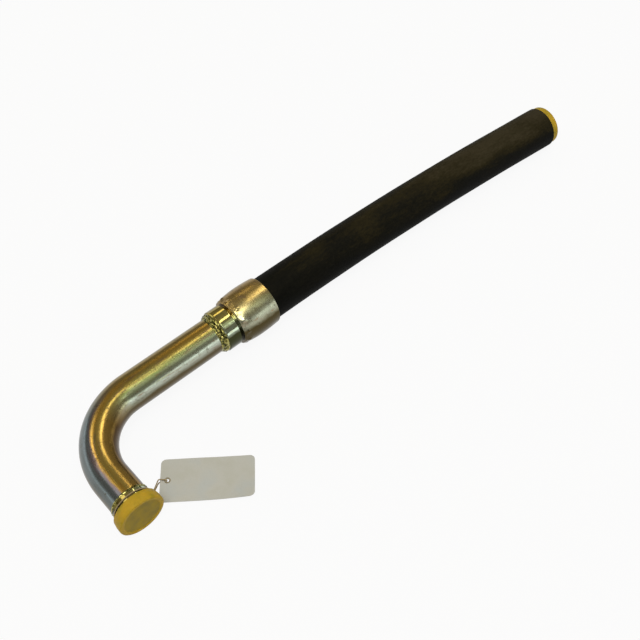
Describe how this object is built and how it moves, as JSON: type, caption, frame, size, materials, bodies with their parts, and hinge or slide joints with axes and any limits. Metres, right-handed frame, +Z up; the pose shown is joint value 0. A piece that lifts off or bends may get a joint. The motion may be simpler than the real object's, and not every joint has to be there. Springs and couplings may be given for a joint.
{
  "type": "fuel hose end with elbow flange fitting",
  "caption": "Bent steel elbow with a split-flange head and a crimped fitting on a cut length of wire-spiral hose, with protective cap, plug and a tied tag.",
  "frame": {"origin": "on the floor, under the middle of the part's box, as it lies at rest on the ferrule, the cap's edge and the hose's cut end", "axes": "+X along the hose, away from the elbow; -Y the way the flange faces; +Z up. The elbow's plane leans 2.4 degrees, because the ferrule is thicker than the cap and the hose"},
  "size_m": [0.6939, 0.1859, 0.0557],
  "materials": {
    "yellow_zinc_steel": "yellow zinc plating with a faint play of colours",
    "braze": "bright, rippled",
    "seal_rubber": "satin",
    "cap_plastic": "soft moulded polyethylene",
    "liner_rubber": "matt",
    "ply_wire": "drawn steel wire",
    "cover_rubber": "matt with a light dusting",
    "card": "matt",
    "eyelet_brass": "dull",
    "string": "twisted cotton"
  },
  "bodies": {
    "elbow_and_hose": {"elbow_tube": "yellow_zinc_steel", "flange_head": "yellow_zinc_steel", "flange_braze": "braze", "face_seal": "seal_rubber", "hose_stem": "yellow_zinc_steel", "stem_braze": "braze", "ferrule": "yellow_zinc_steel", "hose_liner": "liner_rubber", "spiral_ply_1": "ply_wire", "spiral_ply_2": "ply_wire", "spiral_ply_3": "ply_wire", "spiral_ply_4": "ply_wire", "insulation_1": "liner_rubber", "insulation_2": "liner_rubber", "insulation_3": "liner_rubber", "hose_cover": "cover_rubber"},
    "flange_cap": {"flange_cap": "cap_plastic"},
    "hose_plug": {"hose_plug": "cap_plastic"},
    "tag": {"tag_card": "card", "tag_eyelet": "eyelet_brass", "tag_tie": "string"}
  },
  "joints": [
    {"name": "flange_cap_pull", "type": "slide", "parent": "elbow_and_hose", "child": "flange_cap", "axis": [-0.0003, -0.9989, -0.0467], "range_m": [0, 0.06]},
    {"name": "hose_plug_pull", "type": "slide", "parent": "elbow_and_hose", "child": "hose_plug", "axis": [0.9964, -0.0836, -0.01], "range_m": [0, 0.08]},
    {"name": "tag_swing", "type": "hinge", "parent": "elbow_and_hose", "child": "tag", "pos_m": [-0.3223, -0.03476, 0.02447], "axis": [-0.0003, -0.9989, -0.0467], "continuous": true}
  ]
}
